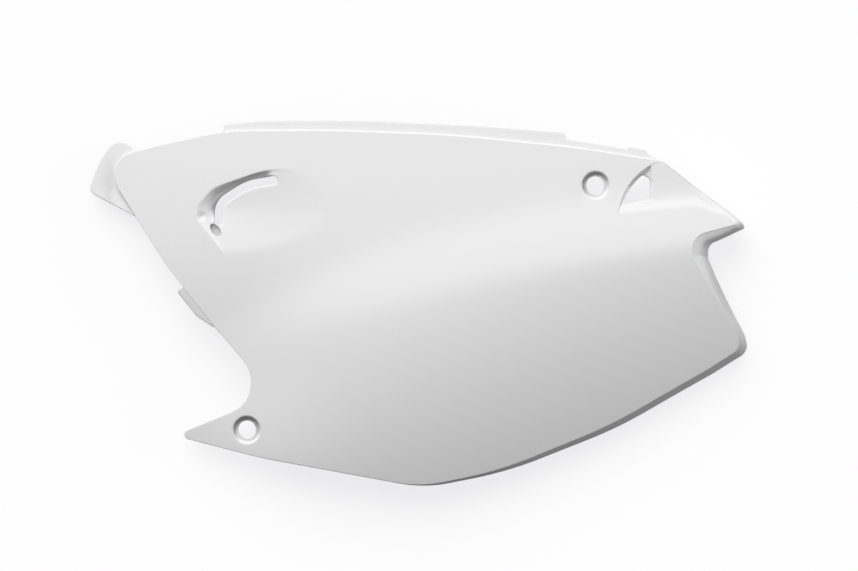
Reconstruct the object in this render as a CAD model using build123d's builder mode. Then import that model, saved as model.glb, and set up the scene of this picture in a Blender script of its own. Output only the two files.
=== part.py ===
from build123d import *
from math import ceil, exp, hypot
import os

os.makedirs("parts", exist_ok=True)

# Side panel of a motocross bike, left side: one shell moulded in plastic, with the number field
# across its upper band and a raised ridge that falls away to the lower edge.
# Frame: the origin is on the axis of the front bolt hole, on its seat. +X runs to the rear of
# the bike, +Y runs up it, and +Z points out of the panel. All sizes are in millimetres.

# Shell
wall = 2.5                # wall of the shell, measured along Z

# Flange: it runs from the skin's edge towards the bike along one slanted mould direction
lean_x = -0.42            # shift of the flange along X for each millimetre up
lean_y = 0.13             # shift of the flange along Y for each millimetre up
flange_front = 5.0        # depth of the flange at the front end
flange_rear = 12.5        # depth of the flange at the rear end
flange_change = (60.0, 260.0)     # the stretch of X over which it deepens
notch_centre = (300.0, 112.0)     # inner end of the rear notch
notch_extra = 14.0        # how much deeper the flange is round the notch
notch_reach = 28.0        # how far that extra depth spreads

# Skin: crowned both ways, with a ridge that lies between two lines, valley and fall
crown_centre = (130.0, 170.0)
crown_radius_x = 1250.0
crown_radius_y = 1500.0
level_slope = 0.1         # tilt of the whole skin, which brings its edges level at rest
valley_line = (83.0, 0.50, -0.0008)     # y of the ridge's upper foot: at x = 0, slope, bend
fall_line = (54.0, 0.34, -0.00036)      # y where the ridge starts to fall
valley_blend = (8.5, 4.0)       # softness of the valley at x = 0 and at the rear
fall_blend = (15.0, 6.0)        # softness of the fall at x = 0 and at the rear
blend_length = 300.0      # the length over which the softness changes
swell = 0.13              # slope from the valley up to the ridge
swell_start = (-60.0, 50.0)     # the stretch of X over which the ridge grows
fall_twist = 0.00053      # slope of the fall, for each millimetre towards the rear
belly_radius = 520.0      # curve of the skin below the ridge
nose_line = (-10.0, -0.9)       # x where the skin turns to the front: at y = 0, slope
nose_slope = 0.3
nose_blend = 60.0
hollow_centre = (-9.5, 36.0)    # the dished area behind the front bolt
hollow_depth = 8.3
hollow_reach = 43.0

# Edge of the skin, seen from outside: corners as x, y and corner radius
skin_edge = (
    (-89.0, 182.5, 13.0),       # front end, top
    (-88.5, 164.5, 18.0),
    (-53.0, 109.0, 40.0),
    (-21.0, 68.0, 60.0),
    (17.5, 23.5, 21.0),         # hollow above the front bolt
    (-49.0, -4.5, 2.8),         # front lower tip
    (10.0, -19.0, 130.0),
    (116.0, -38.5, 80.0),
    (170.0, -27.5, 260.0),
    (243.5, 2.5, 330.0),
    (307.5, 39.2, 130.0),
    (331.5, 54.3, 9.5),         # rear lower corner
    (327.6, 66.3, 20.0),
    (297.8, 116.5, 6.0),        # rear notch
    (298.2, 129.3, 11.0),
    (327.8, 137.4, 1.2),        # rear beak
    (275.5, 180.0, 3.0),
    (220.0, 188.5, 600.0),
    (136.0, 197.0, 800.0),
    (55.5, 200.0, 900.0),
    (-14.0, 200.0, 150.0),
    (-65.0, 189.0, 100.0),
)

# Front vent: a scooped wall under the skin's edge line, with a slot along its foot.
# Mouth is the line on the skin and foot is the line at full depth: corners as x, y and radius.
vent_centre = (-24.0, 148.0)    # deepest place
vent_depth = 4.5
vent_climb = 0.08         # slope of its floor, back up to the skin
vent_squeeze = 1.6        # how much faster it climbs along Y
vent_shares = (-0.5, 1.5)       # how far the wall's tool reaches past its mouth and foot
slope_step = 1.0          # run over which a slope of the skin is measured
vent_mouth = (
    (52.0, 173.4, 1.0),
    (8.0, 173.4, 60.0),
    (-33.6, 154.0, 12.0),
    (-33.3, 139.5, 11.0),
    (-5.0, 106.0, 1.0),
    (20.0, 108.0, 1.0),
    (52.0, 135.0, 1.0),
)
vent_foot = (
    (52.0, 172.4, 1.0),
    (10.0, 169.4, 60.0),
    (-22.6, 155.6, 11.0),
    (-22.4, 138.0, 10.0),
    (-3.0, 107.5, 1.0),
    (20.0, 108.0, 1.0),
    (52.0, 135.0, 1.0),
)
slot_line = ((18.0, 166.9), (0.5, 163.9), (-18.9, 151.8), (-18.9, 135.0))
slot_bends = (35.0, 12.0)
slot_width = 5.6

# Rear facet: a lower field behind the rear bolt, with a finger hole shaped like a drop
facet_depth = 2.2
facet_overlap = 0.4       # how far its floor rises clear of the skin past its foot
facet_tilt = 0.05         # how much shallower it gets, for each millimetre up
facet_line = (116.5, 0.1)       # y of its foot at x = 0, and slope
facet_ramp = 11.0         # run of the soft step back up to the skin at its foot
facet_blend = 4.0
facet_crest = ((277.0, 180.5), (258.5, 168.0), (248.3, 147.5))      # arc of its front edge
facet_beyond = ((345.0, 154.0), (345.0, 190.0))     # clear of the panel's rear edge
drop_arc = ((250.3, 149.8), (255.8, 160.8), (264.8, 170.6))
drop_back = ((269.4, 168.0), (269.8, 154.2))
drop_round = 0.8

# Tabs and lips: plates that stand out past the flange, each with its corners, its drop below the
# skin and its thickness
plate = 2.2
lip_drop = 2.3
lip_corners = (
    (-15.5, 197.0, 0.5),
    (-15.5, 204.0, 1.5),
    (8.0, 206.8, 60.0),
    (75.0, 206.8, 400.0),
    (150.0, 203.4, 400.0),
    (212.0, 198.9, 3.0),
    (213.8, 194.4, 0.8),
    (254.6, 187.6, 0.4),
    (255.2, 189.4, 0.6),
    (266.0, 187.6, 1.5),
    (268.5, 184.6, 0.8),
    (276.2, 181.2, 0.5),
    (274.0, 178.0, 0.5),
    (219.5, 185.6, 300.0),
    (136.0, 194.2, 300.0),
    (55.5, 197.0, 300.0),
)
hook_drop = 2.2
hook_root = (143.0, 165.0)      # the stretch of Y over which it leaves the skin
trough_centre = (-90.5, 164.0)  # groove between the hook and the skin's front edge
trough_depth = 2.2
trough_reach = (5.5, 13.0)
hook_corners = (
    (-71.0, 184.5, 0.5),
    (-87.4, 196.8, 9.5),
    (-99.0, 181.0, 50.0),
    (-107.2, 159.7, 6.0),
    (-72.5, 141.5, 0.5),
    (-85.0, 165.0, 2.0),
    (-84.5, 178.0, 2.0),
)
tab_drop = 0.5            # drop of a plate where it leaves the skin
tab_fall = 0.3            # slope of the small tab, down and away from the edge
tab_blend = 2.0
tab_direction = (-0.77, -0.64)
tab_corners = (
    (-38.0, 94.0, 0.5),
    (-47.2, 93.2, 1.2),
    (-33.4, 75.2, 5.0),
    (-22.5, 68.8, 3.0),
    (-19.0, 67.5, 0.5),
)

# Bolts: each hole goes through the flat seat at the bottom of a round cup
rear_bolt = (233.0, 163.5)
bolt_hole_radius = 6.0
seat_radius = 7.8
cup_mouth_radius = 9.4
cup_depth = 5.0           # from the skin to the seat, on the cup's axis
cup_reach = 10.0          # height of the flared tool above the seat, clear of the skin
seat_wall = 3.0

# Sheets for cutting and bounding: corners of the area that they cover
sheet_x = (-150.0, 380.0)
sheet_y = (-80.0, 250.0)
sheet_margin = 8.0        # how far a local sheet reaches past what it cuts
sheet_cell = 10.0
sheet_tolerance = 0.02
tool_height = 90.0        # taller than the skin is deep anywhere


def hinge(distance, blend):
    return (distance + hypot(distance, blend)) / 2


def smooth_step(value, start, end):
    share = min(max((value - start) / (end - start), 0), 1)
    return share * share * (3 - 2 * share)


def line_height(line, x):
    return line[0] + line[1] * x + line[2] * x * x


def form_height(x, y):
    rear = min(max(x / blend_length, 0), 1)
    soft_valley = valley_blend[0] + (valley_blend[1] - valley_blend[0]) * rear
    soft_fall = fall_blend[0] + (fall_blend[1] - fall_blend[0]) * rear
    below_valley = hinge(line_height(valley_line, x) - y, soft_valley)
    below_fall = hinge(line_height(fall_line, x) - y, soft_fall)
    height = smooth_step(x, *swell_start) * swell * (below_valley - below_fall)
    height -= fall_twist * x * below_fall + below_fall ** 2 / (2 * belly_radius)
    height -= nose_slope * hinge(nose_line[0] + nose_line[1] * y - x, nose_blend)
    from_hollow = hypot(x - hollow_centre[0], y - hollow_centre[1])
    height -= hollow_depth * exp(-from_hollow ** 2 / (2 * hollow_reach ** 2))
    height -= (x - crown_centre[0]) ** 2 / (2 * crown_radius_x)
    height -= (y - crown_centre[1]) ** 2 / (2 * crown_radius_y)
    return height - level_slope * y


skin_lift = cup_depth - form_height(0, 0)


def skin_height(x, y):
    return form_height(x, y) + skin_lift


def flange_depth(x, y):
    depth = flange_front + (flange_rear - flange_front) * smooth_step(x, *flange_change)
    from_notch = hypot(x - notch_centre[0], y - notch_centre[1])
    return depth + notch_extra * exp(-from_notch ** 2 / (2 * notch_reach ** 2))


def sheet(drop, range_x=sheet_x, range_y=sheet_y):
    # a smooth sheet over a rectangle, which lies below the skin by drop(x, y)
    columns = ceil((range_x[1] - range_x[0]) / sheet_cell)
    rows = ceil((range_y[1] - range_y[0]) / sheet_cell)
    grid = []
    for column in range(columns + 1):
        x = range_x[0] + (range_x[1] - range_x[0]) * column / columns
        line = []
        for row in range(rows + 1):
            y = range_y[0] + (range_y[1] - range_y[0]) * row / rows
            line.append(Vector(x, y, skin_height(x, y) - drop(x, y)))
        grid.append(line)
    return Face.make_surface_from_array_of_points(grid, tol=sheet_tolerance, min_deg=3, max_deg=5)


def around(corners, margin):
    # the ranges of x and y that hold the corners, with a margin
    xs = [corner[0] for corner in corners]
    ys = [corner[1] for corner in corners]
    return (min(xs) - margin, max(xs) + margin), (min(ys) - margin, max(ys) + margin)


def on_draw_plane(x, y):
    # a point of the skin, moved along the mould direction to z = 0
    height = skin_height(x, y)
    return (x - lean_x * height, y - lean_y * height)


def vent_drop(x, y):
    from_centre = hypot(x - vent_centre[0], vent_squeeze * (y - vent_centre[1]))
    return vent_depth - vent_climb * from_centre


def facet_drop(x, y):
    past_foot = y - facet_line[0] - facet_line[1] * x
    depth = facet_depth + facet_overlap - facet_tilt * hinge(past_foot - facet_ramp, facet_blend)
    return depth * smooth_step(past_foot, 0, facet_ramp) - facet_overlap


def hook_fall(x, y):
    across = (x - trough_centre[0]) / trough_reach[0]
    along = (y - trough_centre[1]) / trough_reach[1]
    trough = trough_depth * exp(-across ** 2 - along ** 2)
    return tab_drop + trough + (hook_drop - tab_drop) * smooth_step(y, *hook_root)


def tab_fall_away(x, y):
    outward = (x - tab_corners[0][0]) * tab_direction[0] + (y - tab_corners[0][1]) * tab_direction[1]
    return tab_drop + tab_fall * hinge(outward, tab_blend)


def lowered(drop, amount):
    return lambda x, y: drop(x, y) + amount


def blend_corners(upper, lower, share, centre):
    # corners between two matching outlines, or past them, measured from the centre
    mixed = []
    for (x, y, radius), (x2, y2, radius2) in zip(upper, lower):
        across = x + (x2 - x) * share - centre[0]
        along = y + (y2 - y) * share - centre[1]
        mixed.append((across, along, radius + (radius2 - radius) * share))
    return mixed


def closed_line(corners):
    # adds the rounded outline to the line block that is open
    points = [(x, y) for x, y, radius in corners]
    FilletPolyline(*points, radius=[radius for x, y, radius in corners], close=True)


def no_drop(x, y):
    return 0


draw_direction = (lean_x, lean_y, 1)
edge_on_plane = [(*on_draw_plane(x, y), radius) for x, y, radius in skin_edge]

with BuildPart() as outer_form:
    with BuildSketch():
        with BuildLine():
            closed_line(edge_on_plane)
        make_face()
    extrude(amount=tool_height, dir=draw_direction, both=True)
    split(bisect_by=sheet(no_drop), keep=Keep.BOTTOM)
    split(bisect_by=sheet(flange_depth), keep=Keep.TOP)

with BuildPart() as inner_form:
    with BuildSketch():
        with BuildLine():
            closed_line(edge_on_plane)
        make_face()
        offset(amount=-wall)
    extrude(amount=tool_height, dir=draw_direction, both=True)
    split(bisect_by=sheet(lowered(no_drop, wall)), keep=Keep.BOTTOM)

# Form halfway through the wall, which bounds what is added inside the shell
with BuildPart() as middle_form:
    with BuildSketch():
        with BuildLine():
            closed_line(edge_on_plane)
        make_face()
        offset(amount=-wall / 2)
    extrude(amount=tool_height, dir=draw_direction, both=True)
    split(bisect_by=sheet(lowered(no_drop, wall / 2)), keep=Keep.BOTTOM)

# Front vent
vent_area = around(vent_mouth, sheet_margin)
with BuildPart() as vent_liner:
    with BuildSketch(Plane.XY.offset(-tool_height)):
        with BuildLine():
            closed_line(vent_mouth)
        make_face()
        offset(amount=wall)
    extrude(amount=2 * tool_height)
    split(bisect_by=sheet(lowered(no_drop, wall / 2), *vent_area), keep=Keep.BOTTOM)
    split(bisect_by=sheet(lowered(vent_drop, wall), *vent_area), keep=Keep.TOP)

vent_height = skin_height(*vent_centre)
vent_slope_x = (skin_height(vent_centre[0] + slope_step, vent_centre[1]) - vent_height) / slope_step
vent_slope_y = (skin_height(vent_centre[0], vent_centre[1] + slope_step) - vent_height) / slope_step
vent_plane = Plane(
    origin=(*vent_centre, vent_height),
    x_dir=(1, 0, vent_slope_x),
    z_dir=(-vent_slope_x, -vent_slope_y, 1),
)
with BuildPart() as vent_scoop:
    for share in vent_shares:
        with BuildSketch(vent_plane.offset(-share * vent_depth)):
            with BuildLine():
                closed_line(blend_corners(vent_mouth, vent_foot, share, vent_centre))
            make_face()
    loft(ruled=True)
    split(bisect_by=sheet(vent_drop, *vent_area), keep=Keep.TOP)

with BuildPart() as vent_slot:
    with BuildSketch(Plane.XY.offset(-tool_height)):
        with BuildLine():
            FilletPolyline(*slot_line, radius=slot_bends)
            offset(amount=slot_width / 2)
        make_face()
    extrude(amount=2 * tool_height)

# Rear facet
facet_area = around(facet_crest + facet_beyond, sheet_margin)
with BuildSketch(Plane.XY.offset(-tool_height)) as facet_field:
    with BuildLine():
        ThreePointArc(*facet_crest)
        Polyline(facet_crest[2], *facet_beyond, facet_crest[0])
    make_face()

with BuildPart() as facet_liner:
    add(middle_form.part)
    with BuildSketch(Plane.XY.offset(-tool_height)):
        add(facet_field.sketch)
        offset(amount=wall)
    extrude(amount=2 * tool_height, mode=Mode.INTERSECT)
    split(bisect_by=sheet(lowered(facet_drop, wall), *facet_area), keep=Keep.TOP)

with BuildPart() as facet_pocket:
    add(extrude(facet_field.sketch, amount=2 * tool_height, mode=Mode.PRIVATE))
    split(bisect_by=sheet(facet_drop, *facet_area), keep=Keep.TOP)

with BuildPart() as finger_hole:
    with BuildSketch(Plane.XY.offset(-tool_height)):
        with BuildLine():
            ThreePointArc(*drop_arc)
            Polyline(drop_arc[2], *drop_back, drop_arc[0])
        make_face()
        fillet(vertices(), radius=drop_round)
    extrude(amount=2 * tool_height)


# Plates at the edges
def edge_plate(corners, drop):
    area = around(corners, sheet_margin)
    with BuildPart() as slab:
        with BuildSketch(Plane.XY.offset(-tool_height)):
            with BuildLine():
                closed_line(corners)
            make_face()
        extrude(amount=2 * tool_height)
        split(bisect_by=sheet(drop, *area), keep=Keep.BOTTOM)
        split(bisect_by=sheet(lowered(drop, plate), *area), keep=Keep.TOP)
    return slab.part


# Block and hollow of a bolt's cup
def cup(centre):
    level = skin_height(*centre) - cup_depth
    area = around([centre], cup_mouth_radius + wall + sheet_margin)
    with BuildPart() as block:
        with BuildSketch(Plane.XY.offset(level - seat_wall)):
            with Locations(centre):
                Circle(cup_mouth_radius + wall)
        extrude(amount=tool_height)
        split(bisect_by=sheet(lowered(no_drop, wall / 2), *area), keep=Keep.BOTTOM)
    flare = (cup_mouth_radius - seat_radius) / cup_depth
    with BuildPart() as hollow:
        with BuildSketch(Plane.XY.offset(level)):
            with Locations(centre):
                Circle(seat_radius)
        with BuildSketch(Plane.XY.offset(level + cup_reach)):
            with Locations(centre):
                Circle(seat_radius + cup_reach * flare)
        loft()
        with BuildSketch(Plane.XY.offset(level - seat_wall)):
            with Locations(centre):
                Circle(bolt_hole_radius)
        extrude(amount=seat_wall)
    return block.part, hollow.part


lip = edge_plate(lip_corners, lowered(no_drop, lip_drop))
hook = edge_plate(hook_corners, hook_fall)
tab = edge_plate(tab_corners, tab_fall_away)
front_block, front_hollow = cup((0, 0))
rear_block, rear_hollow = cup(rear_bolt)

with BuildPart() as side_panel:
    add(outer_form.part)
    add(inner_form.part, mode=Mode.SUBTRACT)
    add(vent_liner.part)
    add(facet_liner.part)
    add([lip, hook, tab, front_block, rear_block])
    add([vent_scoop.part, vent_slot.part, facet_pocket.part, finger_hole.part], mode=Mode.SUBTRACT)
    add([front_hollow, rear_hollow], mode=Mode.SUBTRACT)

side_panel.part.label = "side_panel"
export_step(side_panel.part, "parts/side_panel.step")
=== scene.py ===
import math
import bpy
import numpy as np
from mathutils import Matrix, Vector
from mathutils.geometry import delaunay_2d_cdt
from mathutils.kdtree import KDTree


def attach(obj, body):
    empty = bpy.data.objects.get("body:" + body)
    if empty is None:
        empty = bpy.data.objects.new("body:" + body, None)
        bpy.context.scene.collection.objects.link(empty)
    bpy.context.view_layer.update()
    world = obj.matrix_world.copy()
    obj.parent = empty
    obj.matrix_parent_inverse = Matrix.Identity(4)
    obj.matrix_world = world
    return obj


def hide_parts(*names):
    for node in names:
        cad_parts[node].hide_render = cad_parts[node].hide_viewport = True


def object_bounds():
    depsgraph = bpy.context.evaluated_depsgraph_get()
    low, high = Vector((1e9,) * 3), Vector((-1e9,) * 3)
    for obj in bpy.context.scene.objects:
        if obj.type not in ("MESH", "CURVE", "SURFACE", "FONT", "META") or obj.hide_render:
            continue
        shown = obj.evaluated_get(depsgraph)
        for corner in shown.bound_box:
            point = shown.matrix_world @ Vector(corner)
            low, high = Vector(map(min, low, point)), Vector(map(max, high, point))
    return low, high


# One moulded side panel, lying face up on a pale table.
# Shapes are worked out in millimetres in the frame's own axes, and turned to metres in the mesh.
millimetre = 0.001

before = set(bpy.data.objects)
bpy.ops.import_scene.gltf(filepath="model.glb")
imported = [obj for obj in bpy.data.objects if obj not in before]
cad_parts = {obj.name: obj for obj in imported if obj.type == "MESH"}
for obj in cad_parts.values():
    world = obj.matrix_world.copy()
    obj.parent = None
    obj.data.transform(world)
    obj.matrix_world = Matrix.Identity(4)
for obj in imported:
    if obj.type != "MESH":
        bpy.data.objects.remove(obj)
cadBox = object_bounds()
print("frame loaded")

# How fine the meshes are
tiny = 1e-12                                # stands in for zero below a fraction line
fineness = {
    "edgeStep": 2.0,                        # spacing of points along the panel's outline
    "holeStep": 1.0,                        # along the vent and the finger hole
    "slotStep": 1.1,
    "plateStep": 1.5,
    "arcTurn": 8.0,                         # degrees of turn for each step round a corner
    "leastBend": 0.05,                      # radius that a corner keeps when it is moved inwards
    "roundSteps": 5,
    "cupPoints": 72,
    "fingerHoleSteps": 10,
    "skinCell": 2.3,                        # sides of the honeycombs of points
    "ventCell": 1.15,
    "facetCell": 1.38,
    "backCell": 4.5,
    "backDetailCell": 2.2,
    "cellGap": 0.62,                        # their least distance from other points, as a share of the side
    "ventArea": ((-42.0, 100.0), (56.0, 182.0)),
    "facetArea": ((240.0, 140.0), (335.0, 190.0)),
    "wallRounds": 12,                       # rounds in which a leaning wall and its height settle each other
    "sharpAngle": 38.0,                     # degrees at which an edge shades as a sharp one
}


# Soft steps and limits
def hinge(distance, blend):
    return (distance + np.hypot(distance, blend)) / 2


def smoothStep(value, start, end):
    share = np.clip((value - start) / (end - start), 0, 1)
    return share * share * (3 - 2 * share)


def rise(value, blend):
    # nothing below zero and the value itself above it, with a round of that reach between them
    bent = (value + blend) ** 2 / (4 * blend)
    return np.where(value < -blend, 0, np.where(value > blend, value, bent))


def lesser(first, second, blend):
    return first - rise(first - second, blend)


# The panel's form: heights above the front seat. It is crowned both ways, with a ridge between two lines.
skin = {
    "wall": 2.5,                            # measured along z
    "crownCentre": (130.0, 170.0),
    "crownRadii": (1250.0, 1500.0),         # of the broad crown, along x and along y
    "levelSlope": 0.1,                      # tilt of the whole skin, which brings its edges level at rest
    "valleyLine": (83.0, 0.50, -0.0008),    # the ridge's upper foot: y at x = 0, slope, bend
    "fallLine": (54.0, 0.34, -0.00036),     # where the ridge starts to fall
    "valleyBlend": (8.5, 4.0),              # softness at x = 0 and at the rear
    "fallBlend": (15.0, 6.0),
    "blendLength": 300.0,
    "swell": 0.13,                          # slope from the valley up to the ridge
    "swellStart": (-60.0, 50.0),            # the stretch of x over which the ridge grows
    "fallTwist": 0.00053,                   # slope of the fall, for each millimetre towards the rear
    "bellyRadius": 520.0,                   # curve of the skin below the ridge
    "noseLine": (-10.0, -0.9),              # where the skin turns to the front: x at y = 0, slope
    "noseSlope": 0.3,
    "noseBlend": 60.0,
    "hollowCentre": (-9.5, 36.0),           # the dished area behind the front bolt
    "hollowDepth": 8.3,
    "hollowReach": 43.0,
    "cupDepth": 5.0,                        # the front seat is at z = 0
    "backSpread": 0.6,                      # of the wall, how much wider the vent and facet are behind
}


def formHeight(x, y):
    s = skin
    rear = np.clip(x / s["blendLength"], 0, 1)
    softValley = s["valleyBlend"][0] + (s["valleyBlend"][1] - s["valleyBlend"][0]) * rear
    softFall = s["fallBlend"][0] + (s["fallBlend"][1] - s["fallBlend"][0]) * rear
    valley, fall = s["valleyLine"], s["fallLine"]
    belowValley = hinge(valley[0] + valley[1] * x + valley[2] * x * x - y, softValley)
    belowFall = hinge(fall[0] + fall[1] * x + fall[2] * x * x - y, softFall)
    height = smoothStep(x, *s["swellStart"]) * s["swell"] * (belowValley - belowFall)
    height = height - s["fallTwist"] * x * belowFall - belowFall ** 2 / (2 * s["bellyRadius"])
    height = height - s["noseSlope"] * hinge(s["noseLine"][0] + s["noseLine"][1] * y - x, s["noseBlend"])
    fromHollow = np.hypot(x - s["hollowCentre"][0], y - s["hollowCentre"][1])
    height = height - s["hollowDepth"] * np.exp(-fromHollow ** 2 / (2 * s["hollowReach"] ** 2))
    height = height - (x - s["crownCentre"][0]) ** 2 / (2 * s["crownRadii"][0])
    height = height - (y - s["crownCentre"][1]) ** 2 / (2 * s["crownRadii"][1])
    return height - s["levelSlope"] * y


skinLift = skin["cupDepth"] - formHeight(0.0, 0.0)


def skinHeight(x, y):
    return formHeight(x, y) + skinLift


# Rounded outlines: corners as x, y and radius, anticlockwise
def leftOf(along):
    # directions turned a quarter to the left, which is inwards on an anticlockwise outline
    return np.stack([-along[:, 1], along[:, 0]], axis=1)


def cornerTurns(corners):
    # corner points, directions after and before each, and the turn there
    points = np.array([(x, y) for x, y, radius in corners])
    along = np.roll(points, -1, axis=0) - points
    along = along / np.hypot(along[:, 0], along[:, 1])[:, None]
    before = np.roll(along, 1, axis=0)
    turns = np.arctan2(before[:, 0] * along[:, 1] - before[:, 1] * along[:, 0], (before * along).sum(1))
    return points, along, before, turns


def stepCounts(corners, step):
    # how many points each round and each run between two rounds gets
    points, along, before, turns = cornerTurns(corners)
    radii = np.array([radius for x, y, radius in corners])
    reach = radii * np.abs(np.tan(turns / 2))
    lengths = np.hypot(*(np.roll(points, -1, axis=0) - points).T) - reach - np.roll(reach, -1)
    byLength = np.ceil(radii * np.abs(turns) / step)
    byTurn = np.ceil(np.degrees(np.abs(turns)) / fineness["arcTurn"])
    arcs = np.maximum(byLength, byTurn)
    runs = np.maximum(np.ceil(lengths / step), 1)
    return arcs.astype(int) + 1, runs.astype(int)


def insetLoop(corners, inset, counts):
    # the outline moved inwards, with the same count of points at every inset
    points, along, before, turns = cornerTurns(corners)
    inward, inwardBefore = leftOf(along), leftOf(before)

    def movedCorner(i):
        # where the corner goes, and the radius of its round there
        middle = inward[i] + inwardBefore[i]
        radius = corners[i][2] - inset if turns[i] > 0 else corners[i][2] + inset
        return points[i] + middle * (inset / (middle @ inward[i])), max(radius, fineness["leastBend"])

    loop = []
    for i in range(len(corners)):
        corner, bend = movedCorner(i)
        reach = bend * abs(math.tan(turns[i] / 2))
        start = corner - before[i] * reach
        side = math.copysign(1.0, turns[i])
        for share in np.linspace(0, 1, counts[0][i]):
            angle = turns[i] * share
            across = side * bend * (1 - math.cos(angle))
            ahead = bend * math.sin(abs(angle))
            loop.append(start + before[i] * ahead + inwardBefore[i] * across)
        following = (i + 1) % len(corners)
        nextCorner, nextBend = movedCorner(following)
        runEnd = nextCorner - along[i] * nextBend * abs(math.tan(turns[following] / 2))
        runStart = loop[-1]
        for share in np.linspace(0, 1, counts[1][i] + 1)[1:-1]:
            loop.append(runStart + (runEnd - runStart) * share)
    return np.array(loop)


def openLine(corners, step):
    # an open line with rounded corners, as points
    points = [np.array(corner[:2]) for corner in corners]
    line = [points[0]]
    for before, corner, after, radius in zip(points, points[1:], points[2:], [c[2] for c in corners[1:-1]]):
        inDirection = (corner - before) / np.linalg.norm(corner - before)
        outDirection = (after - corner) / np.linalg.norm(after - corner)
        turn = math.atan2(
            inDirection[0] * outDirection[1] - inDirection[1] * outDirection[0], inDirection @ outDirection
        )
        reach = radius * abs(math.tan(turn / 2))
        start = corner - inDirection * reach
        side = np.array([-inDirection[1], inDirection[0]]) * math.copysign(1.0, turn)
        steps = max(math.ceil(radius * abs(turn) / step), 3)
        for share in np.linspace(0, 1, steps + 1):
            angle = abs(turn) * share
            ahead, across = radius * math.sin(angle), radius * (1 - math.cos(angle))
            line.append(start + inDirection * ahead + side * across)
    line.append(points[-1])
    dense = [line[0]]
    for start, end in zip(line, line[1:]):
        pieces = max(math.ceil(np.linalg.norm(end - start) / step), 1)
        for share in np.linspace(0, 1, pieces + 1)[1:]:
            dense.append(start + (end - start) * share)
    return np.array(dense)


def alongLine(line):
    # the line's direction at each of its points
    along = np.gradient(line, axis=0)
    return along / np.hypot(along[:, 0], along[:, 1])[:, None]


def bandLoop(line, halfWidth, capSteps=10):
    # closed anticlockwise loop round an open line, with round ends
    along = alongLine(line)
    left = leftOf(along)
    loop = list(line - left * halfWidth)
    for end, direction in ((-1, 1.0), (0, -1.0)):
        for angle in np.linspace(-90, 90, capSteps + 1)[1:-1]:
            turned = math.radians(angle)
            ahead = along[end] * direction
            aside = left[end] * direction
            loop.append(line[end] + (ahead * math.cos(turned) + aside * math.sin(turned)) * halfWidth)
        if end == -1:
            loop.extend((line + left * halfWidth)[::-1])
    return np.array(loop)


def offsetLine(line, amount):
    # the line moved to its left
    return line + leftOf(alongLine(line)) * amount


def circle(centre, radius, count):
    angles = np.linspace(0, 2 * math.pi, count, endpoint=False)
    return np.column_stack([centre[0] + radius * np.cos(angles), centre[1] + radius * np.sin(angles)])


def arcThrough(first, middle, last, steps):
    # points along the arc through three points
    (ax, ay), (bx, by), (cx, cy) = first, middle, last
    twice = 2 * (ax * (by - cy) + bx * (cy - ay) + cx * (ay - by))
    a, b, c = ax * ax + ay * ay, bx * bx + by * by, cx * cx + cy * cy
    centreX = (a * (by - cy) + b * (cy - ay) + c * (ay - by)) / twice
    centreY = (a * (cx - bx) + b * (ax - cx) + c * (bx - ax)) / twice
    radius = math.hypot(ax - centreX, ay - centreY)
    start = math.atan2(ay - centreY, ax - centreX)
    end = math.atan2(cy - centreY, cx - centreX)
    return [
        (centreX + radius * math.cos(angle), centreY + radius * math.sin(angle))
        for angle in np.linspace(start, end, steps + 1)
    ]


def loopArea(corners):
    xs = np.array([corner[0] for corner in corners])
    ys = np.array([corner[1] for corner in corners])
    return ((xs * np.roll(ys, -1) - np.roll(xs, -1) * ys).sum()) / 2


def quarterRound(radius, steps, first=0, last=1):
    # steps round a quarter turn, from the top to the side: how far in from the side, how far below the top
    pairs = []
    for share in np.linspace(first, last, steps + 1):
        turn = share * math.pi / 2
        pairs.append((radius * (1 - math.sin(turn)), radius * (1 - math.cos(turn))))
    return pairs


def isInside(loop, x, y):
    # which points lie inside a closed loop, worked out in batches to spare memory
    batch = 4000
    ends = np.roll(loop, -1, axis=0)
    spans = ends - loop
    height = np.where(spans[:, 1] == 0, tiny, spans[:, 1])
    inside = np.zeros(len(x), bool)
    for first in range(0, len(x), batch):
        px, py = x[first:first + batch, None], y[first:first + batch, None]
        crossing = (loop[:, 1] <= py) != (ends[:, 1] <= py)
        crossX = loop[:, 0] + (py - loop[:, 1]) * spans[:, 0] / height
        inside[first:first + batch] = (crossing & (px < crossX)).sum(1) % 2 == 1
    return inside


def signedDistance(loop, x, y):
    # distance from a closed loop, positive inside it
    spans = np.roll(loop, -1, axis=0) - loop
    lengths = np.maximum((spans ** 2).sum(1), tiny)
    acrossX, acrossY = x[:, None] - loop[:, 0], y[:, None] - loop[:, 1]
    share = np.clip((acrossX * spans[:, 0] + acrossY * spans[:, 1]) / lengths, 0, 1)
    nearX, nearY = acrossX - share * spans[:, 0], acrossY - share * spans[:, 1]
    distance = np.sqrt((nearX ** 2 + nearY ** 2).min(1))
    return np.where(isInside(loop, x, y), distance, -distance)


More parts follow.
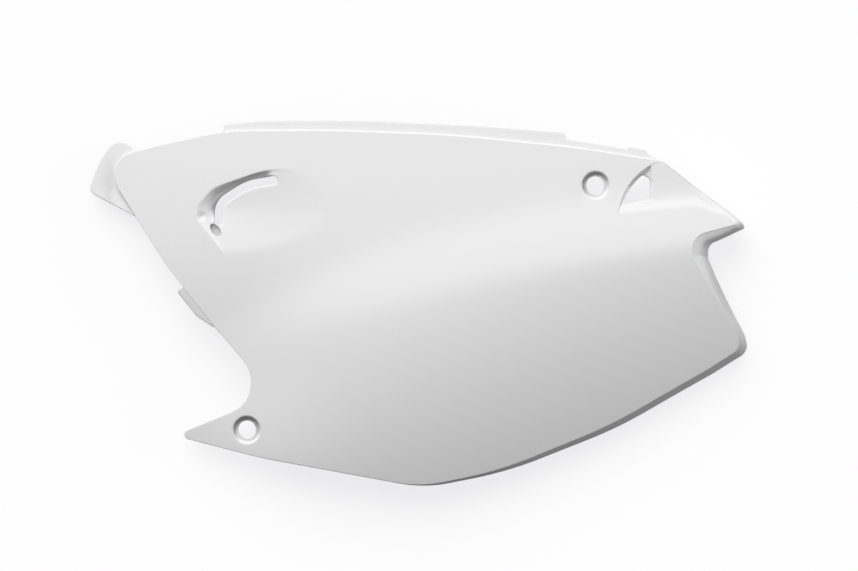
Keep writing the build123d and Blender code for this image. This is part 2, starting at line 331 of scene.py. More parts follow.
# The front vent: a scooped wall with a slot along its foot
vent = {
    "centre": (-24.0, 148.0),               # its deepest place
    "depth": 4.5,
    "climb": 0.095,                         # slope of the floor, back up to the skin
    "squeeze": (0.6, 1.4, 1.6),             # of the distance from the centre: to the right, above, below
    "margin": 5.0,                          # how far outside its mouth it may still bend the skin
    "leastWall": 0.3,                       # width of its wall where mouth and foot meet
    "wallSpan": (-1.0, 3.0),                # how far the wall's slope is followed past mouth and foot
    "crestRound": 0.4,
    "footRound": 0.9,
    "mouth": (                              # corners are x, y and radius
        (52.0, 174.0, 1.0), (12.0, 173.6, 50.0), (-22.5, 161.8, 18.0), (-33.3, 149.5, 10.0),
        (-33.0, 140.5, 6.0), (-5.0, 106.0, 1.0), (20.0, 108.0, 1.0), (52.0, 135.0, 1.0),
    ),
    "foot": (
        (52.0, 172.4, 1.0), (10.0, 169.4, 60.0), (-22.6, 155.6, 11.0), (-22.4, 138.0, 10.0),
        (-3.0, 107.5, 1.0), (20.0, 108.0, 1.0), (52.0, 135.0, 1.0),
    ),
    "slotLine": ((18.0, 166.9, 0.0), (0.5, 163.9, 35.0), (-18.9, 151.8, 12.0), (-18.9, 139.3, 0.0)),
    "slotWidth": 5.6,
    "slotRound": 0.5,
    "plunge": 3.4,                          # how much deeper the wall is beside the slot
    "plungeReach": 5.6,
    "plungeHug": 1.5,                       # how much more closely it hugs the slot low down
    "plungeBend": (-158.0, -150.0),         # the stretch of -y over which that sets in
    "plungeFade": (3.5, 8.0),               # over this far from its two ends
    "bevel": 0.3,                           # how far the slot's other edge is worn down
    "bevelReach": 1.9,
    "pitCentre": (-20.7, 133.6),            # blind pit past the slot's lower end
    "pitAlong": (0.62, -0.78),
    "pitReach": (5.2, 2.5),
    "pitEdge": 0.92,                        # its floor's share of that
    "pitDepth": (2.0, 8.0),                 # at its upper and lower end
    "dimpleCentre": (-30.0, 142.8),
    "dimpleDepth": 1.3,
    "dimpleReach": 2.2,
}

mouthLoop = insetLoop(vent["mouth"], 0.0, stepCounts(vent["mouth"], fineness["holeStep"]))
footLoop = insetLoop(vent["foot"], 0.0, stepCounts(vent["foot"], fineness["holeStep"]))
slotCentre = openLine(vent["slotLine"], fineness["slotStep"])


def besideSlot(x, y):
    # the vent's wall plunges beside the slot, and the slot's other edge is worn down
    along = alongLine(slotCentre)
    runs = np.concatenate([[0], np.cumsum(np.hypot(*np.diff(slotCentre, axis=0).T))])
    acrossX, acrossY = x[:, None] - slotCentre[:, 0], y[:, None] - slotCentre[:, 1]
    nearest = (acrossX ** 2 + acrossY ** 2).argmin(1)
    rows = np.arange(len(x))
    fromLineX, fromLineY = acrossX[rows, nearest], acrossY[rows, nearest]
    side = fromLineX * along[nearest, 1] - fromLineY * along[nearest, 0]
    fromEdge = np.maximum(np.hypot(fromLineX, fromLineY) - vent["slotWidth"] / 2, 0)
    power = 1 + vent["plungeHug"] * smoothStep(-y, *vent["plungeBend"])
    slope = (1 - np.clip(fromEdge / vent["plungeReach"], 0, 1)) ** power
    first, last = vent["plungeFade"]
    fade = smoothStep(runs[nearest], 0, first) * smoothStep(runs[-1] - runs[nearest], 0, last)
    worn = vent["bevel"] * (1 - np.clip(fromEdge / vent["bevelReach"], 0, 1)) ** 2
    return np.where(side > 0, vent["plunge"] * slope * fade, worn)


def pitDrop(x, y):
    # the blind pit past the slot, and the dimple
    fromX, fromY = x - vent["pitCentre"][0], y - vent["pitCentre"][1]
    alongX, alongY = vent["pitAlong"]
    ahead = (fromX * alongX + fromY * alongY) / vent["pitReach"][0]
    share = np.hypot(ahead, (fromX * alongY - fromY * alongX) / vent["pitReach"][1])
    first, last = vent["pitDepth"]
    depth = (first + last) / 2 + (last - first) / 2 * np.clip(ahead, -1, 1)
    pit = depth * smoothStep(-share, -1.0, -vent["pitEdge"])
    fromDimple = np.hypot(x - vent["dimpleCentre"][0], y - vent["dimpleCentre"][1])
    return pit + vent["dimpleDepth"] * np.exp(-(fromDimple / vent["dimpleReach"]) ** 2)


def ventDrop(x, y, grown=0.0):
    # how far the vent lies below the skin; grown widens it, for the back of the wall
    low, high = mouthLoop.min(0) - vent["margin"], mouthLoop.max(0) + vent["margin"]
    near = (x > low[0]) & (x < high[0]) & (y > low[1]) & (y < high[1])
    drop = np.zeros(len(x))
    if not near.any():
        return drop
    x, y = x[near], y[near]
    fromMouth = signedDistance(mouthLoop, x, y) + grown
    fromFoot = signedDistance(footLoop, x, y) + grown
    share = fromMouth / np.maximum(fromMouth - fromFoot, vent["leastWall"])
    right, above = x - vent["centre"][0], y - vent["centre"][1]
    wide, high, low = vent["squeeze"]
    fromCentre = np.hypot(right * np.where(right > 0, wide, 1), above * np.where(above > 0, high, low))
    floor = vent["depth"] - vent["climb"] * fromCentre
    wall = vent["depth"] * np.clip(share, *vent["wallSpan"])
    scoop = rise(lesser(wall, floor, vent["footRound"]), vent["crestRound"])
    drop[near] = scoop + besideSlot(x, y) * np.clip(scoop, 0, 1) + pitDrop(x, y)
    return drop


# The rear facet: a lower field behind the rear bolt, with a finger hole shaped like a drop
facet = {
    "depth": 1.4,
    "overlap": 0.4,
    "tilt": 0.05,                           # how much shallower it gets, for each millimetre up
    "line": (116.5, 0.1),                   # its foot: y at x = 0, slope
    "bend": (0.5, 306.0, 3.0),              # the line turns down by this slope from this x on
    "ramp": (11.0, 5.0),                    # width of the step before and after that
    "rampChange": (298.0, 312.0),
    "blend": 4.0,
    "edgeRound": 0.3,
    "crestCentre": (291.8, 138.6),          # its front edge is an arc
    "crestRadius": 44.4,
    "stepWidth": 0.9,
    "holeFall": 2.6,                        # how much deeper it is between the crest and the hole
    "holeFallReach": 3.0,
    "holeFallStart": (160.0, 164.0),        # the stretch of y over which that begins
    "holeFallEnd": (269.2, 270.8),          # the stretch of x over which it ends
    "holeArc": ((250.3, 149.8), (255.8, 160.8), (264.8, 170.6)),
    "holeBack": ((269.4, 168.0), (269.8, 154.2)),
    "holeRounds": (0.8, 2.4, 3.0, 0.8),     # of its corners, from the lower left round
    "holeArcRound": 30.0,
    "holeEdge": 0.5,
}


def facetDrop(x, y, grown=0.0):
    # how far the facet lies below the skin
    turn, turnStart, turnBlend = facet["bend"]
    pastFoot = y - facet["line"][0] - facet["line"][1] * x + turn * hinge(x - turnStart, turnBlend)
    first, last = facet["ramp"]
    ramp = first + (last - first) * smoothStep(x, *facet["rampChange"])
    depth = facet["depth"] + facet["overlap"] - facet["tilt"] * hinge(pastFoot - ramp, facet["blend"])
    floor = depth * smoothStep(pastFoot / ramp, 0, 1) - facet["overlap"]
    fromCrest = facet["crestRadius"] - np.hypot(x - facet["crestCentre"][0], y - facet["crestCentre"][1])
    fromCrest = np.where(x > facet["crestCentre"][0], facet["crestRadius"], fromCrest) + grown
    beside = smoothStep(fromCrest, 0.0, facet["holeFallReach"]) * (1 - smoothStep(x, *facet["holeFallEnd"]))
    beside = beside * smoothStep(y, *facet["holeFallStart"]) * facet["holeFall"]
    return rise(floor, facet["edgeRound"]) * smoothStep(fromCrest, 0.0, facet["stepWidth"]) + beside


def topHeight(x, y):
    return skinHeight(x, y) - ventDrop(x, y) - facetDrop(x, y)


def backHeight(x, y):
    grown = skin["wall"] * skin["backSpread"]
    return skinHeight(x, y) - skin["wall"] - ventDrop(x, y, grown) - facetDrop(x, y, grown)


# A mesh in the making: one list of points and one list of faces
class Shell:
    def __init__(self):
        self.points = []
        self.faces = []

    def ring(self, xyz):
        first = len(self.points)
        self.points.extend(tuple(point) for point in xyz)
        return list(range(first, len(self.points)))

    def bridge(self, upper, lower):
        # quads between two anticlockwise rings, facing outwards when upper is the higher one
        count = len(upper)
        for i in range(count):
            j = (i + 1) % count
            self.faces.append((upper[i], lower[i], lower[j], upper[j]))

    def bridgeAll(self, rings, outwards=True):
        for upper, lower in zip(rings, rings[1:]):
            if not outwards:
                upper, lower = lower, upper
            self.bridge(upper, lower)

    def cap(self, outer, holes, height, cells, lines=(), up=True):
        # triangles across a ring, round its holes, with inner points on the height
        rims = [np.array([self.points[i][:2] for i in ring]) for ring in [outer] + holes]
        flat = [tuple(point) for rim in rims for point in rim]
        indices = [i for ring in [outer] + holes for i in ring]
        edges = []
        first = 0
        for rim in rims:
            count = len(rim)
            edges.extend((first + i, first + (i + 1) % count) for i in range(count))
            first += count
        inner = innerPoints(rims, cells, lines)
        flat.extend(tuple(point) for point in inner)
        heights = height(inner[:, 0], inner[:, 1])
        indices.extend(self.ring(np.column_stack([inner, heights])))
        insideOnly, mergeDistance = 1, 1e-7
        found = delaunay_2d_cdt([Vector(point) for point in flat], edges, [], insideOnly, mergeDistance)
        origins = [sources[0] for sources in found[3]]
        triangles = np.array([[origins[v] for v in face] for face in found[2]])
        middles = np.array(flat)[triangles].mean(1)
        hollow = np.zeros(len(triangles), bool)
        for rim in rims[1:]:
            hollow |= isInside(rim, middles[:, 0], middles[:, 1])
        for triangle in triangles[~hollow]:
            face = tuple(indices[v] for v in triangle)
            self.faces.append(face if up else face[::-1])

    def build(self, name):
        mesh = bpy.data.meshes.new(name)
        used = sorted({i for face in self.faces for i in face})
        place = {old: new for new, old in enumerate(used)}
        scaled = np.array(self.points)[used] * millimetre
        mesh.from_pydata(scaled.tolist(), [], [tuple(place[i] for i in face) for face in self.faces])
        mesh.validate()
        for polygon in mesh.polygons:
            polygon.use_smooth = True
        made = bpy.data.objects.new(name, mesh)
        bpy.context.scene.collection.objects.link(made)
        return made


def innerPoints(rims, cells, lines):
    # points inside the first rim: along the lines, then honeycombs, each clear of what came before
    everything = np.concatenate(rims)
    taken = [tuple(point) for point in everything]
    kept = []

    def takeClear(candidates, gap):
        tree = KDTree(len(taken))
        for i, point in enumerate(taken):
            tree.insert((point[0], point[1], 0), i)
        tree.balance()
        inside = isInside(rims[0], candidates[:, 0], candidates[:, 1])
        for rim in rims[1:]:
            inside &= ~isInside(rim, candidates[:, 0], candidates[:, 1])
        for point in candidates[inside]:
            if tree.find((point[0], point[1], 0))[2] > gap:
                kept.append(tuple(point))
                taken.append(tuple(point))

    for points, gap in lines:
        takeClear(points, gap)
    low, high = everything.min(0), everything.max(0)
    for cell, area in cells:
        start = np.maximum(low, area[0]) if area else low
        end = np.minimum(high, area[1]) if area else high
        rows = np.arange(start[1], end[1], cell * math.sqrt(3) / 2)
        honeycomb = []
        for i, row in enumerate(rows):
            columns = np.arange(start[0] + (cell / 2 if i % 2 else 0), end[0], cell)
            honeycomb.extend((column, row) for column in columns)
        takeClear(np.array(honeycomb), cell * fineness["cellGap"])
    return np.array(kept)


# The flange runs from the skin's edge towards the bike along one slanted direction
flange = {
    "lean": (-0.42, 0.13),                  # shift of the wall for each millimetre up
    "front": 5.0,                           # its depth at the front
    "rear": 12.5,
    "change": (60.0, 260.0),                # the stretch of x between the two
    "notchCentre": (300.0, 112.0),          # round the rear notch it is deeper
    "notchExtra": 14.0,
    "notchReach": 28.0,
    "bulgeCentre": (305.0, 125.0),          # round the notch the wall starts gently below the crease
    "bulgeReach": 25.0,
    "bulge": 14.0,
    "creaseRound": 0.45,                    # round of the edge between skin and flange
    "rimRound": 0.5,
    "innerRound": 0.8,
    "outerShares": (0.06, 0.14, 0.24, 0.36, 0.5, 0.64, 0.78, 0.9),    # where its rings of points lie, down
    "innerShares": (0.33, 0.67),            # and up inside
    "corners": (                            # of the skin's edge, from the top of the front end
        (-89.0, 182.5, 13.0), (-88.5, 164.5, 18.0), (-53.0, 109.0, 40.0), (-21.0, 68.0, 60.0),
        (17.5, 23.5, 21.0), (-49.0, -4.5, 2.8), (10.0, -19.0, 130.0), (116.0, -38.5, 80.0),
        (170.0, -27.5, 260.0), (243.5, 2.5, 330.0), (307.5, 39.2, 130.0), (331.5, 54.3, 9.5),
        (327.6, 66.3, 20.0), (297.8, 116.5, 6.0), (298.2, 129.3, 11.0), (327.8, 137.4, 1.2),
        (275.5, 180.0, 3.0), (220.0, 188.5, 600.0), (136.0, 197.0, 800.0), (55.5, 200.0, 900.0),
        (-14.0, 200.0, 150.0), (-65.0, 189.0, 100.0),
    ),
}


def flangeDepth(x, y):
    depth = flange["front"] + (flange["rear"] - flange["front"]) * smoothStep(x, *flange["change"])
    fromNotch = np.hypot(x - flange["notchCentre"][0], y - flange["notchCentre"][1])
    return depth + flange["notchExtra"] * np.exp(-fromNotch ** 2 / (2 * flange["notchReach"] ** 2))


def onWall(loop, depth):
    # points of the leaning wall over a loop at z = 0, that lie so far below the skin
    lean = flange["lean"]
    z = np.zeros(len(loop))
    for _ in range(fineness["wallRounds"]):
        x, y = loop[:, 0] + lean[0] * z, loop[:, 1] + lean[1] * z
        z = depth(x, y)
    return np.column_stack([loop[:, 0] + lean[0] * z, loop[:, 1] + lean[1] * z, z])


def edgeProfile(edge):
    # from the crease down the flange, round its rim and back up inside: how far in, and the height there
    crease, rim, inner, wall = flange["creaseRound"], flange["rimRound"], flange["innerRound"], skin["wall"]
    profile = []
    for inset, drop in quarterRound(crease, fineness["roundSteps"]):
        profile.append((inset, lambda x, y, drop=drop: topHeight(x, y) - drop))
    wallTop = onWall(edge, topHeight)
    fromNotch = np.hypot(wallTop[:, 0] - flange["bulgeCentre"][0], wallTop[:, 1] - flange["bulgeCentre"][1])
    bulge = flange["bulge"] * np.exp(-(fromNotch / flange["bulgeReach"]) ** 2)
    for share in flange["outerShares"]:
        out = bulge * (math.sqrt(1 - (1 - share) ** 2) - share)
        profile.append((-out, lambda x, y, share=share: topHeight(x, y) - crease
                        - (flangeDepth(x, y) - facetDrop(x, y) - crease - rim) * share))
    for left, inset in quarterRound(rim, 2):
        profile.append((inset, lambda x, y, left=left: skinHeight(x, y) - flangeDepth(x, y) + left))
    for left, inset in quarterRound(rim, 2, 1, 0):
        profile.append((wall - inset, lambda x, y, left=left: skinHeight(x, y) - flangeDepth(x, y) + left))
    for share in flange["innerShares"]:
        profile.append((wall, lambda x, y, share=share: skinHeight(x, y) - flangeDepth(x, y) + rim
                        + (flangeDepth(x, y) - wall - inner - rim - facetDrop(x, y)) * share))
    for inset, drop in quarterRound(inner, 3, 1, 0):
        profile.append((wall + inset, lambda x, y, drop=drop: backHeight(x, y) - drop))
    return profile


def makeEdge(shell):
    # the edge all round; gives its first ring, on the skin, and its last, on the back
    lean = flange["lean"]
    level = [float(skinHeight(x, y)) for x, y, radius in flange["corners"]]
    corners = [
        (x - lean[0] * z, y - lean[1] * z, radius)
        for (x, y, radius), z in zip(flange["corners"], level)
    ]
    counts = stepCounts(corners, fineness["edgeStep"])
    flat, apart = insetLoop(corners, 0.0, counts), insetLoop(corners, -1.0, counts)
    rings = []
    for inset, height in edgeProfile(flat):
        if np.ndim(inset):
            loop = flat + (flat - apart) * inset[:, None]    # each point has an inset of its own
        else:
            loop = insetLoop(corners, inset, counts)
        rings.append(shell.ring(onWall(loop, height)))
    shell.bridgeAll(rings)
    return rings[0], rings[-1]


# The two bolt cups
bolts = {
    "places": ((0.0, 0.0), (233.0, 163.5)),
    "holeRadius": 6.0,
    "seatRadius": 8.7,
    "mouthRadius": 9.0,
    "mouthRound": 1.2,
    "seatRound": 0.5,
    "seatFall": 1.25,                       # how much lower the seat is at the foot of the wall
    "holeEdge": 0.4,
    "seatWall": 3.0,
    "blockRadius": (9.5, 10.1),             # outside of the cup on the back, at its end and its root
    "rootRound": 0.3,
}


def makeBoltCup(shell, place):
    # from the mouth's round down to the seat, through the hole and out on the back
    b = bolts
    seat = float(skinHeight(*place)) - skin["cupDepth"]
    slope = math.atan2(skin["cupDepth"], b["mouthRadius"] - b["seatRadius"])

    def seatHeight(x, y):
        return np.full(len(x), seat)

    levels = []
    arcCentre = b["mouthRadius"] + b["mouthRound"] * math.tan(slope / 2)
    for share in np.linspace(0, 1, fineness["roundSteps"] + 1):
        turn = share * slope
        levels.append((arcCentre - b["mouthRound"] * math.sin(turn), topHeight,
                       b["mouthRound"] * (1 - math.cos(turn))))
    footReach = b["seatRound"] * math.tan(slope / 2)
    for share in np.linspace(1, 0, 4):
        turn = share * slope
        levels.append((b["seatRadius"] - footReach + b["seatRound"] * math.sin(turn), seatHeight,
                       b["seatFall"] - b["seatRound"] * (1 - math.cos(turn))))
    for inset, drop in quarterRound(b["holeEdge"], 3):
        levels.append((b["holeRadius"] + inset, seatHeight, drop))
    for inset, drop in quarterRound(b["holeEdge"], 2, 1, 0):
        levels.append((b["holeRadius"] + inset, seatHeight, b["seatWall"] - drop))
    for inset, drop in quarterRound(b["holeEdge"], 2):
        levels.append((b["blockRadius"][0] - inset, seatHeight, b["seatWall"] - drop))
    levels.append((b["blockRadius"][1], backHeight, b["rootRound"]))
    levels.append((b["blockRadius"][1] + b["rootRound"], backHeight, 0.0))
    rings = []
    for radius, height, drop in levels:
        loop = circle(place, radius, fineness["cupPoints"])
        rings.append(shell.ring(np.column_stack([loop, height(loop[:, 0], loop[:, 1]) - drop])))
    shell.bridgeAll(rings, outwards=False)
    return rings[0], rings[-1]


# Holes with upright walls: the vent's slot and the finger hole
def throughHole(shell, loopAt, edge):
    levels = [(inset, topHeight, -drop) for inset, drop in quarterRound(edge, 3)]
    levels += [(inset, backHeight, drop) for inset, drop in quarterRound(edge, 2, 1, 0)]
    rings = []
    for grown, height, shift in levels:
        loop = loopAt(grown)
        rings.append(shell.ring(np.column_stack([loop, height(loop[:, 0], loop[:, 1]) + shift])))
    shell.bridgeAll(rings, outwards=False)
    return rings[0], rings[-1]


def slotAt(grown):
    return bandLoop(slotCentre, vent["slotWidth"] / 2 + grown)


def fingerHoleCorners():
    # a drop: an arc on the left, with a straight back
    arc = arcThrough(*facet["holeArc"], fineness["fingerHoleSteps"])
    rounds, back = facet["holeRounds"], facet["holeBack"]
    corners = [(*arc[0], rounds[0])]
    corners += [(x, y, facet["holeArcRound"]) for x, y in arc[1:-1]]
    corners += [(*arc[-1], rounds[1]), (*back[0], rounds[2]), (*back[1], rounds[3])]
    return corners[::-1]


# Lines of points that the skin's mesh follows where its slope changes fast, and the gap kept round each
guides = {
    "pitPoints": 48,
    "pitShares": (0.5, 0.72, 0.86, 0.91, 0.96, 1.0, 1.12),
    "pitGap": 0.12,
    "ventInsets": (-1.0, -0.5, 0.0, 0.5, 1.0),
    "ventGap": 0.35,
    "slotReaches": (0.8, 1.2, 1.7, 2.3, 3.0),
    "slotGap": 0.4,
    "crestTurns": (100, 175, 90),           # degrees from and to, and the count of points
    "crestInsets": (-0.3, 0.0, 0.2, 0.45, 0.7, 0.9, 1.2),
    "crestGap": 0.15,
}


def guideLines():
    lines = []
    turns = np.linspace(0, 2 * math.pi, guides["pitPoints"], endpoint=False)
    (centreX, centreY), (alongX, alongY) = vent["pitCentre"], vent["pitAlong"]
    for share in guides["pitShares"]:
        ahead = share * vent["pitReach"][0] * np.cos(turns)
        aside = share * vent["pitReach"][1] * np.sin(turns)
        x, y = centreX + ahead * alongX + aside * alongY, centreY + ahead * alongY - aside * alongX
        lines.append((np.column_stack([x, y]), guides["pitGap"]))
    for inset in guides["ventInsets"]:
        lines.append((offsetLine(mouthLoop, inset), guides["ventGap"]))
        lines.append((offsetLine(footLoop, inset), guides["ventGap"]))
    for reach in guides["slotReaches"]:
        lines.append((slotAt(reach), guides["slotGap"]))
    turns = np.radians(np.linspace(*guides["crestTurns"]))
    centreX, centreY = facet["crestCentre"]
    for inset in guides["crestInsets"]:
        radius = facet["crestRadius"] - inset
        x, y = centreX + radius * np.cos(turns), centreY + radius * np.sin(turns)
        lines.append((np.column_stack([x, y]), guides["crestGap"]))
    return lines


# The shell itself: edge, cups and holes first, then the skin and the back between them
def makeShell():
    shell = Shell()
    skinEdge, backEdge = makeEdge(shell)
    holes = [makeBoltCup(shell, place) for place in bolts["places"]]
    holes.append(throughHole(shell, slotAt, vent["slotRound"]))
    drop = fingerHoleCorners()
    counts = stepCounts(drop, fineness["holeStep"])
    holes.append(throughHole(shell, lambda grown: insetLoop(drop, -grown, counts), facet["holeEdge"]))
    f = fineness
    cells = [(f["ventCell"], f["ventArea"]), (f["facetCell"], f["facetArea"]), (f["skinCell"], None)]
    shell.cap(skinEdge, [front for front, back in holes], topHeight, cells, guideLines())
    detail = f["backDetailCell"]
    cells = [(detail, f["ventArea"]), (detail, f["facetArea"]), (f["backCell"], None)]
    shell.cap(backEdge, [back for front, back in holes], backHeight, cells, up=False)
    return shell


# Plates that stand out from the edge: the long lip, the front hook and the small tab
plates = {
    "thickness": 2.2,
    "edgeRound": 0.6,
    "leastCorner": 0.72,                    # least radius of their corners
    "lip": {
        "drop": 1.4,                        # how far below the skin it lies
        "corners": (
            (-15.5, 197.0, 0.5), (-15.5, 204.0, 1.5), (8.0, 206.8, 60.0), (75.0, 206.8, 400.0),
            (150.0, 203.4, 400.0), (212.0, 198.9, 3.0), (213.8, 194.4, 0.8), (254.6, 187.6, 0.4),
            (255.2, 189.4, 0.6), (266.0, 187.6, 1.5), (268.5, 184.6, 0.8), (273.8, 181.0, 0.5),
            (272.6, 178.0, 0.5), (219.5, 185.6, 300.0), (136.0, 194.2, 300.0), (55.5, 197.0, 300.0),
        ),
    },
    "hook": {
        "near": 0.2,                        # how far below the skin it lies at its lower end
        "drop": 2.2,                        # and above
        "root": (130.0, 165.0),             # the stretch of y over which it leaves the skin
        "troughCentre": (-89.5, 158.0),     # upper end of the groove beside the skin's front edge
        "troughDepth": 2.4,
        "troughReach": (5.5, 12.0, 14.0),   # to the left, to the right, above
        "corners": (
            (-71.0, 184.5, 0.5), (-87.4, 196.8, 9.5), (-99.0, 181.0, 50.0), (-107.2, 159.7, 6.0),
            (-72.5, 141.5, 0.5), (-85.0, 165.0, 2.0), (-84.5, 178.0, 2.0),
        ),
    },
    "tab": {
        "drop": -0.06,
        "fall": 0.15,                       # its slope, down and away from the edge
        "direction": (-0.77, -0.64),
        "start": 3.0,
        "blend": 2.5,
        "corners": (
            (-39.5, 98.2, 0.5), (-47.0, 92.8, 1.8), (-33.7, 76.0, 5.0), (-22.5, 68.8, 3.0),
            (-17.0, 67.5, 0.5),
        ),
    },
}


def lipDrop(x, y):
    return plates["lip"]["drop"]


def hookDrop(x, y):
    h = plates["hook"]
    left, right, above = h["troughReach"]
    across = x - h["troughCentre"][0]
    across = across / np.where(across < 0, left, right)
    along = np.maximum(y - h["troughCentre"][1], 0) / above
    trough = h["troughDepth"] * np.exp(-across ** 2 - along ** 2)
    return h["near"] + trough + (h["drop"] - h["near"]) * smoothStep(y, *h["root"])


def tabDrop(x, y):
    t = plates["tab"]
    (startX, startY), direction = t["corners"][0][:2], t["direction"]
    outward = (x - startX) * direction[0] + (y - startY) * direction[1]
    return t["drop"] + t["fall"] * hinge(outward - t["start"], t["blend"])


def makePlate(corners, drop):
    # a plate of that outline, so far below the skin
    plate = Shell()
    step, edge, thickness = fineness["plateStep"], plates["edgeRound"], plates["thickness"]
    corners = [(x, y, max(radius, plates["leastCorner"])) for x, y, radius in corners]
    corners = corners if loopArea(corners) > 0 else corners[::-1]
    counts = stepCounts(corners, step)
    levels = quarterRound(edge, 3)
    levels += [(inset, thickness - below) for inset, below in quarterRound(edge, 3, 1, 0)]
    rings = []
    for inset, below in levels:
        loop = insetLoop(corners, inset, counts)
        z = skinHeight(loop[:, 0], loop[:, 1]) - drop(loop[:, 0], loop[:, 1]) - below
        rings.append(plate.ring(np.column_stack([loop, z])))
    plate.bridgeAll(rings)
    cells = [(step, None)]
    plate.cap(rings[0], [], lambda x, y: skinHeight(x, y) - drop(x, y), cells)
    plate.cap(rings[-1], [], lambda x, y: skinHeight(x, y) - drop(x, y) - thickness, cells, up=False)
    return plate


def fusePlate(panel, name, drop):
    plate = makePlate(plates[name]["corners"], drop).build(name)
    fuse = panel.modifiers.new(name, "BOOLEAN")
    fuse.operation = "UNION"
    fuse.solver = "MANIFOLD"
    fuse.object = plate
    fused = bpy.data.meshes.new_from_object(panel.evaluated_get(bpy.context.evaluated_depsgraph_get()))
    panel.modifiers.remove(fuse)
    panel.data = fused
    bpy.data.objects.remove(plate)


panel = makeShell().build("side_panel_shell")
print("shell made:", len(panel.data.polygons), "faces")
for name, drop in (("lip", lipDrop), ("hook", hookDrop), ("tab", tabDrop)):
    fusePlate(panel, name, drop)
panel.data.set_sharp_from_angle(angle=math.radians(fineness["sharpAngle"]))
weighted = panel.modifiers.new("evenShading", "WEIGHTED_NORMAL")
weighted.keep_sharp = True
print("plates fused:", len(panel.data.polygons), "faces")

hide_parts("side_panel")
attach(panel, "root")

# Plastic
plasticLook = {
    "colour": (0.825, 0.825, 0.825, 1),
    "clouded": (0.808, 0.81, 0.812, 1),     # colour of the broad faint clouds in it
    "clouds": (11.0, 4.0),                  # patterns are given as scale and detail
    "cloudShare": 0.7,
    "flow": (4.0, 3.0),
    "flowStretch": (2.5, 22.0, 2.5),        # the plastic ran along X as it filled the mould
    "flowShare": 0.3,
    "roughness": (0.36, 0.46),
    "sheen": (55.0, 6.0),
    "wave": (26.0, 1.0),
    "waveHeight": 0.00006,
    "grain": ((1300.0, 3.0), (4200.0, 3.0)),
    "grainHeight": 0.00003,
    "patternMiddle": (0.35, 0.65),          # the part of each pattern that is spread over a range
    "ior": 1.49,
}
plastic = bpy.data.materials.new("whiteMouldedPlastic")
plastic.use_nodes = True
plasticNodes, plasticLinks = plastic.node_tree.nodes, plastic.node_tree.links
shader = plasticNodes["Principled BSDF"]
place = plasticNodes.new("ShaderNodeTexCoord")


def plasticNoise(scale, detail, stretch=None):
    # a soft random pattern over the panel, from 0 to 1
    noise = plasticNodes.new("ShaderNodeTexNoise")
    noise.inputs["Scale"].default_value = scale
    noise.inputs["Detail"].default_value = detail
    source = place.outputs["Object"]
    if stretch:
        mapping = plasticNodes.new("ShaderNodeMapping")
        mapping.inputs["Scale"].default_value = stretch
        plasticLinks.new(source, mapping.inputs["Vector"])
        source = mapping.outputs["Vector"]
    plasticLinks.new(source, noise.inputs["Vector"])
    return noise.outputs["Fac"]


def plasticRange(source, low, high):
    # the middle of a pattern spread over a range
    spread = plasticNodes.new("ShaderNodeMapRange")
    spread.inputs["From Min"].default_value = plasticLook["patternMiddle"][0]
    spread.inputs["From Max"].default_value = plasticLook["patternMiddle"][1]
    spread.inputs["To Min"].default_value = low
    spread.inputs["To Max"].default_value = high
    plasticLinks.new(source, spread.inputs["Value"])
    return spread.outputs["Result"]


def plasticBump(height, depth, below=None):
    bump = plasticNodes.new("ShaderNodeBump")
    bump.inputs["Distance"].default_value = depth
    plasticLinks.new(height, bump.inputs["Height"])
    if below:
        plasticLinks.new(below, bump.inputs["Normal"])
    return bump.outputs["Normal"]


clouds = plasticRange(plasticNoise(*plasticLook["clouds"]), 0.0, plasticLook["cloudShare"])
flow = plasticNoise(*plasticLook["flow"], plasticLook["flowStretch"])
flow = plasticRange(flow, 0.0, plasticLook["flowShare"])
marks = plasticNodes.new("ShaderNodeMath")
plasticLinks.new(clouds, marks.inputs[0])
plasticLinks.new(flow, marks.inputs[1])
tint = plasticNodes.new("ShaderNodeMix")
tint.data_type = "RGBA"
tint.inputs["A"].default_value = plasticLook["colour"]
tint.inputs["B"].default_value = plasticLook["clouded"]
plasticLinks.new(marks.outputs["Value"], tint.inputs["Factor"])
plasticLinks.new(tint.outputs["Result"], shader.inputs["Base Color"])
sheen = plasticRange(plasticNoise(*plasticLook["sheen"]), *plasticLook["roughness"])
plasticLinks.new(sheen, shader.inputs["Roughness"])
relief = plasticBump(plasticNoise(*plasticLook["wave"]), plasticLook["waveHeight"])
for grain in plasticLook["grain"]:
    relief = plasticBump(plasticNoise(*grain), plasticLook["grainHeight"], relief)
plasticLinks.new(relief, shader.inputs["Normal"])
shader.inputs["IOR"].default_value = plasticLook["ior"]
panel.data.materials.append(plastic)
print("plastic ready")

# Table
tableLook = {
    "size": 6.0,
    "centre": (0.12, 0.09),
    "seenByPanel": (0.1, 0.1, 0.1, 1),      # its colour in the light that it throws back
    "seenByCamera": (0.19, 0.19, 0.18, 1),
    "glow": (0.985, 0.98, 1, 1),            # for the camera only
    "glowStrength": 0.81,
    "roughness": 0.9,
}
floorHeight = cadBox[0].z
bpy.ops.mesh.primitive_plane_add(size=tableLook["size"], location=(*tableLook["centre"], floorHeight))
table = bpy.context.object
table.name = "table"
paint = bpy.data.materials.new("paleTable")
paint.use_nodes = True
paintNodes, paintLinks = paint.node_tree.nodes, paint.node_tree.links
paintShader = paintNodes["Principled BSDF"]
paintShader.inputs["Roughness"].default_value = tableLook["roughness"]
rays = paintNodes.new("ShaderNodeLightPath")
paintMix = paintNodes.new("ShaderNodeMix")
paintMix.data_type = "RGBA"
paintMix.inputs["A"].default_value = tableLook["seenByPanel"]
paintMix.inputs["B"].default_value = tableLook["seenByCamera"]
paintLinks.new(rays.outputs["Is Camera Ray"], paintMix.inputs["Factor"])
paintLinks.new(paintMix.outputs["Result"], paintShader.inputs["Base Color"])
paintShader.inputs["Emission Color"].default_value = tableLook["glow"]
glow = paintNodes.new("ShaderNodeMath")
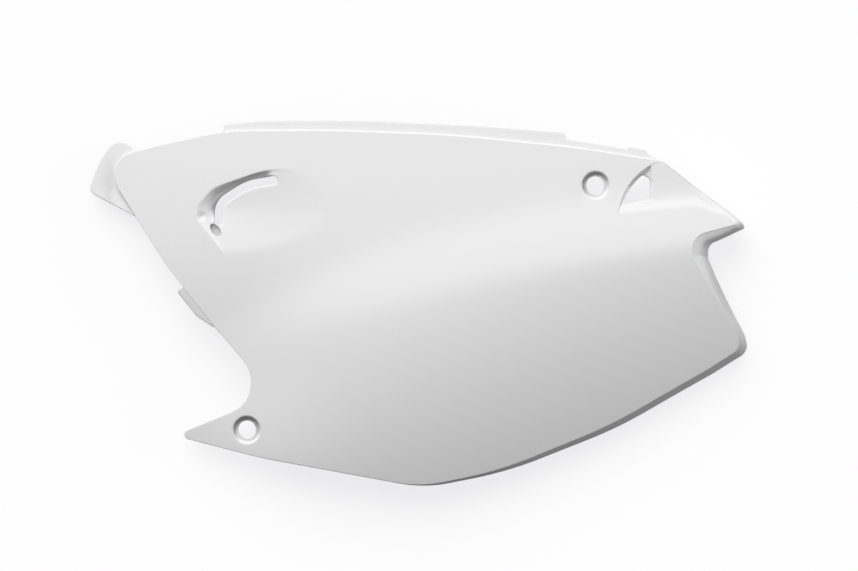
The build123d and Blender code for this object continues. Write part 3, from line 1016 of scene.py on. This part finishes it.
glow.operation = "MULTIPLY"
glow.inputs[1].default_value = tableLook["glowStrength"]
paintLinks.new(rays.outputs["Is Camera Ray"], glow.inputs[0])
paintLinks.new(glow.outputs["Value"], paintShader.inputs["Emission Strength"])
table.data.materials.append(paint)
print("table ready")

# Light
light = {
    "sky": 0.13,                            # strength of the room's light; rays to the camera see plain white
    "lamps": (                              # name, where the light comes from, strength, spread in degrees
        ("topSoftbox", (-0.30, 0.73, 0.66), 3.53, 60.0),
        ("rightFill", (0.98, 0.05, 0.13), 1.25, 45.0),
    ),
}
for name, direction, strength, spread in light["lamps"]:
    lampData = bpy.data.lights.new(name, "SUN")
    lampData.energy = strength
    lampData.angle = math.radians(spread)
    lamp = bpy.data.objects.new(name, lampData)
    bpy.context.scene.collection.objects.link(lamp)
    lamp.rotation_mode = "QUATERNION"
    lamp.rotation_quaternion = Vector(direction).to_track_quat("Z", "Y")

world = bpy.data.worlds.new("paleRoom")
bpy.context.scene.world = world
world.use_nodes = True
skyNodes, skyLinks = world.node_tree.nodes, world.node_tree.links
backdrop = skyNodes["Background"]
backdrop.inputs["Color"].default_value = (1, 1, 1, 1)
skyRays = skyNodes.new("ShaderNodeLightPath")
seen = skyRays.outputs["Is Camera Ray"]
for kind in ("Is Glossy Ray", "Is Transmission Ray"):
    either = skyNodes.new("ShaderNodeMath")
    either.operation = "MAXIMUM"
    skyLinks.new(seen, either.inputs[0])
    skyLinks.new(skyRays.outputs[kind], either.inputs[1])
    seen = either.outputs["Value"]
skyMix = skyNodes.new("ShaderNodeMix")
skyMix.inputs["A"].default_value = light["sky"]
skyMix.inputs["B"].default_value = 1.0
skyLinks.new(seen, skyMix.inputs["Factor"])
skyLinks.new(skyMix.outputs["Result"], backdrop.inputs["Strength"])

# Camera, straight above the panel
view = {
    "centre": (0.1219, 0.0965),
    "width": 858 * 0.67 * millimetre,       # the picture's width in pixels, at 0.67 mm each
    "distance": 3.0,
    "sensor": 36.0,
}
camera = bpy.data.cameras.new("camera")
camera.sensor_width = view["sensor"]
camera.lens = view["sensor"] * view["distance"] / view["width"]
cameraObject = bpy.data.objects.new("camera", camera)
bpy.context.scene.collection.objects.link(cameraObject)
cameraObject.location = (*view["centre"], view["distance"])
bpy.context.scene.camera = cameraObject

bpy.context.scene.view_settings.view_transform = "Standard"
print("lights and camera ready")
